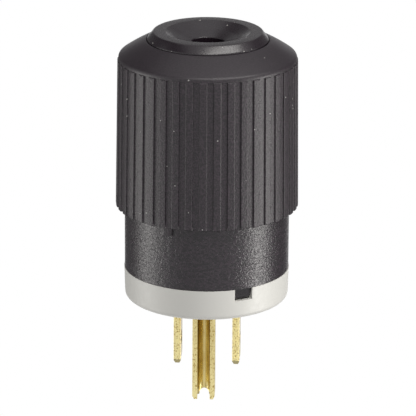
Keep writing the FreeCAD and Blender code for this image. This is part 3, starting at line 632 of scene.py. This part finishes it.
def grip_shell(size, inside):
    """Lathe whose radius follows the ribs outside and the keyway inside, still without its bosses."""
    bottom, top = heights_of("grip_shell")
    bore = radius_of("terminal_body") + inside.bore_gap
    big = size.rib_radius
    half_land = math.pi * big / size.rib_count * size.rib_share
    angles, key_half = keyway_columns(rib_columns(size, big, half_land), inside, bore)
    pitches = (angles - size.rib_turn) * size.rib_count / (2 * math.pi)
    across = np.abs((pitches + 0.5) % 1 - 0.5) * 2 * math.pi * big / size.rib_count
    rib = rib_height(across, size, half_land)
    off_key = (angles + inside.keyway_turn + math.pi) % (2 * math.pi) - math.pi
    groove = np.where(np.abs(off_key) < key_half, inside.keyway_depth, 0.0)
    rows = shell_outside(size, rib, bottom, top, big)
    # The bore's last corner gives way to rows that carry the keyway
    rows += [tuple(corner) for corner in shell_inside(size, inside, bottom, top, bore)[:-1]]
    mouth = 0.1 * MM
    for depth, height in ((0.0, inside.keyway_top), (groove, inside.keyway_top),
                          (groove, bottom + mouth), (groove + mouth, bottom)):
        rows.append((bore + depth, height))
    radii = np.stack([row[0] + 0 * rib for row in rows])
    heights = np.array([row[1] for row in rows])[:, None]
    return surface("ribbed_grip_shell", lathe(radii, heights, angles[None, :]), grid_faces(*radii.shape))


def screw_boss(inside, side):
    """Solid boss for a long screw, and the stepped hole in it, as two turned objects."""
    centre = (side * inside.boss_x, -inside.boss_y)
    r, low, high = inside.boss_radius, inside.boss_bottom, inside.boss_top
    boss = np.array([(0, low), (r, low), (r, high), (0, high)])
    screw, insert = inside.bore_radius, inside.insert_radius
    hole = np.array([(0, low - MM), (screw, low - MM), (screw, inside.insert_bottom),
                     (insert, inside.insert_bottom), (insert, inside.insert_top),
                     (screw, inside.insert_top), (screw, inside.bore_end), (0, inside.bore_end)])
    columns = 48
    return turned("boss", boss, columns, centre), turned("boss hole", hole, columns, centre)


def cord_gland(size):
    """Lathe of a closed profile: flank, flat rim, dished mouth, cord hole, collar and neck."""
    bottom, top = heights_of("cord_gland")
    outer = radius_of("cord_gland")
    dish_middle = ((size.dish_radius + size.cord_radius) / 2, (top + size.dish_height) / 2 - size.dish_sag)
    corners = [
        (outer, size.seat), (outer, size.flank_height), (size.rim_radius, top), (size.dish_radius, top),
        dish_middle, (size.cord_radius, size.dish_height), (size.cord_radius, bottom),
        (size.collar_radius, bottom), (size.collar_radius, size.collar_top),
        (size.neck_radius, size.collar_top), (size.neck_radius, size.seat)]
    rounds = np.array([0.1, 0.5, 0.0, 0.6, 4.0, 0.35, 0.3, 0.7, 0.2, 0.2, 0.2]) * MM
    rounds[2] = size.rim_round
    return turned("rubber_cord_gland", rounded(corners, rounds, steps=7), columns=192)


def dressed_copy(name, source, bevel):
    """A merged copy of a CAD node with flat faces made whole and its edges rounded."""
    mesh = frame["nodes"][source].data.copy()
    mesh.name = name
    edit = bmesh.new()
    edit.from_mesh(mesh)
    bmesh.ops.remove_doubles(edit, verts=edit.verts, dist=MERGE_DISTANCE)
    bmesh.ops.dissolve_limit(edit, angle_limit=math.radians(0.4), verts=edit.verts, edges=edit.edges)
    edit.to_mesh(mesh)
    edit.free()
    mesh.materials.clear()
    made = linked(name, mesh)
    rounding = made.modifiers.new("Edge rounding", "BEVEL")
    rounding.width = bevel
    rounding.segments = 3
    rounding.limit_method = "ANGLE"
    rounding.angle_limit = math.radians(30)
    rounding.use_clamp_overlap = True
    rounding.harden_normals = True
    return made


def read_points(items, name):
    """X, y and z of a point that each vertex or face has, as three arrays."""
    points = np.empty(len(items) * 3)
    items.foreach_get(name, points)
    return points.reshape(-1, 3).T


# Where to look for the guide key, in degrees from the ground pin's side, and how far either way
GUIDE_KEY_AZIMUTH = -25
GUIDE_KEY_REACH = 8
# Faces whose middle is this near to an end lie on it
ON_FACE = 0.05 * MM


def terminal_body():
    """The terminal body, grained but for its keys: the face key is smooth, and the guide key is fine.

    The face key stands below the body's lower edge and the guide key proud of the body's side.
    """
    made = dressed_copy("grained_terminal_body", "terminal_body", values("edge_sizes").body)
    x, y, z = read_points(made.data.polygons, "center")
    edge = -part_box("terminal_body")[1].z + values("edge_sizes").key_length
    radius = np.hypot(x, y)
    azimuth = np.degrees(np.arctan2(-x, -y))
    face_key = -z < edge - ON_FACE
    proud = radius > radius_of("terminal_body") + 0.02 * MM
    guide_key = proud & (np.abs(azimuth - GUIDE_KEY_AZIMUTH) < GUIDE_KEY_REACH)
    made.data.polygons.foreach_set("material_index", (face_key + 2 * guide_key).astype(np.int32))
    return made


def brass_pin(source, both_edges):
    """A blade or the ground pin: rolled faces, and sheared ones at its front, tip and perhaps back.

    The front and the back are where the part of it that stands out of the white face ends.
    """
    made = dressed_copy("brass_" + source, source, values("edge_sizes").pin)
    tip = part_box(source)[1].z
    corners = read_points(made.data.vertices, "co")
    out = corners[1][corners[2] > MM]
    x, y, z = read_points(made.data.polygons, "center")
    edge = (y < out.min() + ON_FACE) | (z > tip - values("edge_sizes").cut_end)
    if both_edges:
        edge |= y > out.max() - ON_FACE
    made.data.polygons.foreach_set("material_index", edge.astype(np.int32))
    return made


class PLUG_OT_grip_shell(bpy.types.Operator):
    """Adds the ribbed shell with its lip, shoulder, keyway and screw bosses"""

    bl_idname = "plug.grip_shell"
    bl_label = "Grip Shell"

    def execute(self, context):
        inside = values("shell_inside_sizes")
        made = grip_shell(values("grip_shell_sizes"), inside)
        for side in (-1, 1):
            boss, hole = screw_boss(inside, side)
            made = combined(made, boss, "UNION")
            made = combined(made, hole, "DIFFERENCE")
        nylon = fine_black_nylon(lip_height=values("grip_shell_sizes").lip_height)
        finished(made, [nylon], ["grip_shell"], degrees=38)
        return {"FINISHED"}


class PLUG_OT_cord_gland(bpy.types.Operator):
    """Adds the rubber gland with its dished mouth"""

    bl_idname = "plug.cord_gland"
    bl_label = "Cord Gland"

    def execute(self, context):
        made = cord_gland(values("gland_sizes"))
        finished(made, [moulded_rubber()], ["cord_gland"], degrees=38)
        return {"FINISHED"}


class PLUG_OT_body(bpy.types.Operator):
    """Adds the terminal body and the white front face"""

    bl_idname = "plug.body"
    bl_label = "Terminal Body and Face"

    def execute(self, context):
        finishes = [pebbled_black_nylon(), plain_black_nylon(), fine_black_nylon("Fine-grained key")]
        finished(terminal_body(), finishes, ["terminal_body"])
        face = dressed_copy("white_front_face", "front_face", values("edge_sizes").face)
        finished(face, [moulded_white_nylon()], ["front_face"])
        return {"FINISHED"}


class PLUG_OT_pins(bpy.types.Operator):
    """Adds the two blades and the folded ground pin"""

    bl_idname = "plug.pins"
    bl_label = "Blades and Ground Pin"

    def execute(self, context):
        rolled = rolled_brass()
        blade_edge = sheared_brass("Sheared blade edge", 0.0, 0.1)
        pin_edge = sheared_brass("Sheared pin edge", 0.1, 0.45)
        for source in ("line_blade", "neutral_blade"):
            finished(brass_pin(source, True), [rolled, blade_edge], [source])
        finished(brass_pin("ground_pin", False), [rolled, pin_edge], ["ground_pin"])
        return {"FINISHED"}


class PLUG_OT_fittings(bpy.types.Operator):
    """Finishes the screws, plates, washers, inserts and cord jaws"""

    bl_idname = "plug.fittings"
    bl_label = "Screws and Inner Fittings"

    def execute(self, context):
        colours = values("plug_colours")
        finishes = {
            "brass": plain_finish("Machined brass", colours.brass, 0.3, 1.0),
            "nickel_plated_steel": plain_finish("Nickel-plated steel", colours.plating, 0.28, 1.0),
            "green_screw": plain_finish("Green-dyed steel", colours.green_steel, 0.3, 0.6),
            "red_fibre": plain_finish("Red vulcanised fibre", colours.fibre, 0.6),
            "grey_nylon": plain_finish("Grey nylon", colours.grey_nylon, 0.45),
        }
        for part in frame["record"]["subparts"]:
            source, slot = part["node"], part["material_slot"]
            if slot in finishes and not source.endswith("blade") and source != "ground_pin":
                made = dressed_copy("finished_" + source, source, values("edge_sizes").fitting)
                finished(made, [finishes[slot]], [source])
        return {"FINISHED"}


# Width of the picture, focal length and place of the aim point, in pixels
PICTURE = 416
FOCAL_PIXELS = 3407.28
AIM_PIXEL = (206.927, 182.461)
# Width of the film, in millimetres, and the nearest and farthest depths, in metres
FILM_WIDTH = 36.0
DEPTHS = (0.05, 20.0)


def turn_vectors(first, second, turn):
    """Two vectors turned together in their own plane."""
    c, s = math.cos(turn), math.sin(turn)
    return first * c - second * s, second * c + first * s


def camera():
    """Camera of the photograph's view, worked out as drawn and then turned over.

    It looks at the plug's axis from a distance and a rise over the face plane. Small turns put the
    aim point where the picture has it, and the plug's own small turn moves the camera round it.
    """
    size = values("studio_values")
    rise = size.camera_rise
    place = Vector((0, -size.camera_distance * math.cos(rise),
                    size.look_height + size.camera_distance * math.sin(rise)))
    ahead = Vector((0, math.cos(rise), -math.sin(rise)))
    right = Vector((1, 0, 0))
    up = right.cross(ahead)
    middle = PICTURE / 2
    ahead, up = turn_vectors(ahead, up, math.atan((middle - AIM_PIXEL[1]) / FOCAL_PIXELS))
    ahead, right = turn_vectors(ahead, right, math.atan((AIM_PIXEL[0] - middle) / FOCAL_PIXELS))
    up, right = turn_vectors(up, right, size.camera_roll)
    spin = Matrix.Rotation(size.plug_turn, 3, "Z")
    over = Matrix.Diagonal((-1, 1, -1))
    place, right, up, ahead = (over @ (spin @ v) for v in (place, right, up, ahead))
    lens = bpy.data.cameras.new("Photograph view")
    lens.sensor_width = FILM_WIDTH
    lens.lens = FOCAL_PIXELS * FILM_WIDTH / PICTURE
    lens.clip_start, lens.clip_end = DEPTHS
    made = linked("Photograph view", lens)
    facing = Matrix((right, up, -ahead)).transposed().to_4x4()
    made.matrix_world = Matrix.Translation(place) @ facing
    bpy.context.scene.camera = made


PLUG_MIDDLE = Vector((0, 0, -0.03))
LAMP_DISTANCE = 0.9
CARD_DISTANCE = 1.4


def directions(azimuths, elevations):
    """Unit vectors (-sin a cos e, -cos a cos e, -sin e) in the frame, from degrees.

    Azimuths run from the ground pin's side towards the line blade, and elevations towards the
    gland, which is up in the picture.
    """
    a, e = np.broadcast_arrays(np.radians(azimuths), np.radians(elevations))
    return np.stack([-np.sin(a) * np.cos(e), -np.cos(a) * np.cos(e), -np.sin(e)], axis=-1)


def hidden_from(made, *rays):
    """Hides an object from kinds of rays, such as diffuse or shadow."""
    for ray in rays:
        setattr(made, "visible_" + ray, False)


def softbox(name, azimuth, elevation, width, height, level):
    """Soft lamp, a little warm, aimed at the plug's middle from a fixed distance.

    Its power is the level, times pi, times its area, so that its face is as bright as a white
    sheet times the level.
    """
    lamp = bpy.data.lights.new(name, "AREA")
    lamp.shape = "RECTANGLE"
    lamp.size = width
    lamp.size_y = height
    lamp.energy = level * math.pi * width * height
    lamp.color = linear("#fffdf9")[:3]
    made = linked(name, lamp)
    away = Vector(directions(azimuth, elevation))
    turn = away.to_track_quat("Z", "Y").to_matrix().to_4x4()
    made.matrix_world = Matrix.Translation(PLUG_MIDDLE + away * LAMP_DISTANCE) @ turn


def card(name, azimuths, elevations, level):
    """Part of a sphere round the plug between two azimuths and two elevations, evenly grey, seen
    only as a reflection, as the cards round a studio table are."""
    columns, rows = 25, 13
    across = np.linspace(*azimuths, columns)[None, :]
    along = np.linspace(*elevations, rows)[:, None]
    points = CARD_DISTANCE * directions(across, along).reshape(-1, 3) + np.array(PLUG_MIDDLE)
    low = np.arange(rows - 1)[:, None] * columns + np.arange(columns - 1)[None, :]
    high = low + columns
    faces = np.stack([low, low + 1, high + 1, high], axis=-1)
    mesh = bpy.data.meshes.new(name)
    mesh.from_pydata(points.tolist(), [], faces.reshape(-1, 4).tolist())
    mesh.materials.append(grey_card(name, level))
    made = linked(name, mesh)
    hidden_from(made, "camera", "diffuse", "transmission", "shadow")


def white_surround(strength):
    """World: pure white to camera, glossy and transmission rays, and a lower light to the rest.

    The lower light grows from the gland's side to the pins' side, as a white table under the pins
    would throw it back, and its mean is the strength.
    """
    world = bpy.data.worlds.new("White surround")
    bpy.context.scene.world = world
    world.use_nodes = True
    tree = world.node_tree
    tree.nodes.clear()
    path = node(tree, "LightPath").outputs
    seen = node(tree, "Math", {0: path["Is Camera Ray"], 1: path["Is Glossy Ray"]}, operation="MAXIMUM")
    either = node(tree, "Math", {0: seen.outputs[0], 1: path["Is Transmission Ray"]}, operation="MAXIMUM")
    height = node(tree, "SeparateXYZ", {0: node(tree, "TexCoord").outputs["Generated"]}).outputs["Z"]
    table = node(tree, "MapRange", {0: height, 1: -1.0, 3: 0.0, 4: 2 * strength})
    level = node(tree, "MapRange", {0: either.outputs[0], 3: table.outputs[0], 4: 1.0})
    light = node(tree, "Background", {"Color": (1, 1, 1, 1), "Strength": level.outputs[0]})
    node(tree, "OutputWorld", {0: light.outputs[0]})


def grey_card(name, level):
    """Matt grey card as the lamps light it: an even share of white."""
    white, black = (1, 1, 1, 1), (0, 0, 0, 1)
    return new_material(name, Emission_Strength=level, Emission_Color=white, Base_Color=black,
                        Specular_IOR_Level=0.0)[0]


def bench_top():
    """Matt white bench top, lit a little from within so that it stays pale; clear from below."""
    white = linear("#f4f4f4")
    made, tree, shader = new_material("White bench top", Roughness=0.9, Base_Color=white,
                                      Emission_Color=white, Emission_Strength=0.25)
    side = node(tree, "NewGeometry").outputs["Backfacing"]
    clear = node(tree, "BsdfTransparent").outputs[0]
    mix = node(tree, "MixShader", {0: side, 1: shader.outputs[0], 2: clear})
    output = next(n for n in tree.nodes if n.type == "OUTPUT_MATERIAL")
    tree.links.new(mix.outputs[0], output.inputs[0])
    return made


def bench():
    """Flat disc under the plug: points at one radius and even angles. Only the camera sees it."""
    radius = 1.6
    count = 96
    angles = np.linspace(0, 2 * math.pi, count, endpoint=False)
    floor = np.full(count, CAD_BOX[0].z)
    rim = np.stack([radius * np.cos(angles), radius * np.sin(angles), floor], axis=-1)
    mesh = bpy.data.meshes.new("Bench top")
    mesh.from_pydata(rim.tolist(), [], [list(range(count))])
    mesh.materials.append(bench_top())
    made = linked("Bench top", mesh)
    hidden_from(made, "diffuse", "glossy", "transmission", "shadow")


# Name, azimuths and elevations in degrees, share of white
CARDS = (
    ("Card right of behind", (105, 162), (-45, 35), 0.2),
    ("Card left of behind", (198, 255), (-45, 35), 0.18),
    ("Card straight behind", (162, 198), (8, 35), 0.35),
    ("High card on the right", (105, 195), (35, 55), 0.6),
    ("High card on the left", (195, 315), (35, 55), 0.15),
    ("Front card on the left", (-40, -12), (-45, 15), 0.7),
    ("Front card on the right", (-12, 40), (-45, 15), 0.9),
    ("Card below", (0, 360), (-90, -50), 0.3),
)
# Name, azimuth and elevation in degrees, width and height in metres, level
LAMPS = (
    ("Left softbox", -87, -20, 0.46, 0.5, 3.3),
    ("Right softbox", 80, -20, 0.29, 0.5, 9.0),
    ("Gland light", 38, 57, 1.0, 0.2, 8.6),
)


class PLUG_OT_studio(bpy.types.Operator):
    """Adds the bench top, the white surround, the cards, the soft lamps and the camera"""

    bl_idname = "plug.studio"
    bl_label = "Studio"

    def execute(self, context):
        white_surround(values("studio_values").sky)
        bench()
        for name, azimuths, elevations, level in CARDS:
            card(name, azimuths, elevations, level)
        for name, azimuth, elevation, width, height, level in LAMPS:
            softbox(name, azimuth, elevation, width, height, level)
        camera()
        context.scene.view_settings.view_transform = "Standard"
        return {"FINISHED"}


STEPS = (
    PLUG_OT_grip_shell,
    PLUG_OT_cord_gland,
    PLUG_OT_body,
    PLUG_OT_pins,
    PLUG_OT_fittings,
    PLUG_OT_studio,
)


class PLUG_PT_panel(bpy.types.Panel):
    """Lists the plug's pieces and the studio"""

    bl_idname = "PLUG_PT_panel"
    bl_label = "Rewireable Plug"
    bl_space_type = "VIEW_3D"
    bl_region_type = "UI"
    bl_category = "Plug"

    def draw(self, context):
        for step in STEPS:
            self.layout.operator(step.bl_idname)


GROUPS = {
    "grip_shell_sizes": GripShellSizes,
    "shell_inside_sizes": ShellInsideSizes,
    "gland_sizes": GlandSizes,
    "edge_sizes": EdgeSizes,
    "plug_colours": PlugColours,
    "studio_values": StudioValues,
}


def register():
    """Registers the classes and hangs the property groups on the scene."""
    for made in (*GROUPS.values(), *STEPS, PLUG_PT_panel):
        bpy.utils.register_class(made)
    for name, made in GROUPS.items():
        setattr(bpy.types.Scene, name, PointerProperty(type=made))


def unregister():
    """Takes back what register did."""
    for name in GROUPS:
        delattr(bpy.types.Scene, name)
    for made in reversed((*GROUPS.values(), *STEPS, PLUG_PT_panel)):
        bpy.utils.unregister_class(made)


def main():
    """Builds everything in order."""
    register()
    for step in STEPS:
        group, name = step.bl_idname.split(".")
        getattr(getattr(bpy.ops, group), name)()
    bpy.context.view_layer.update()


if __name__ == "__main__":
    main()
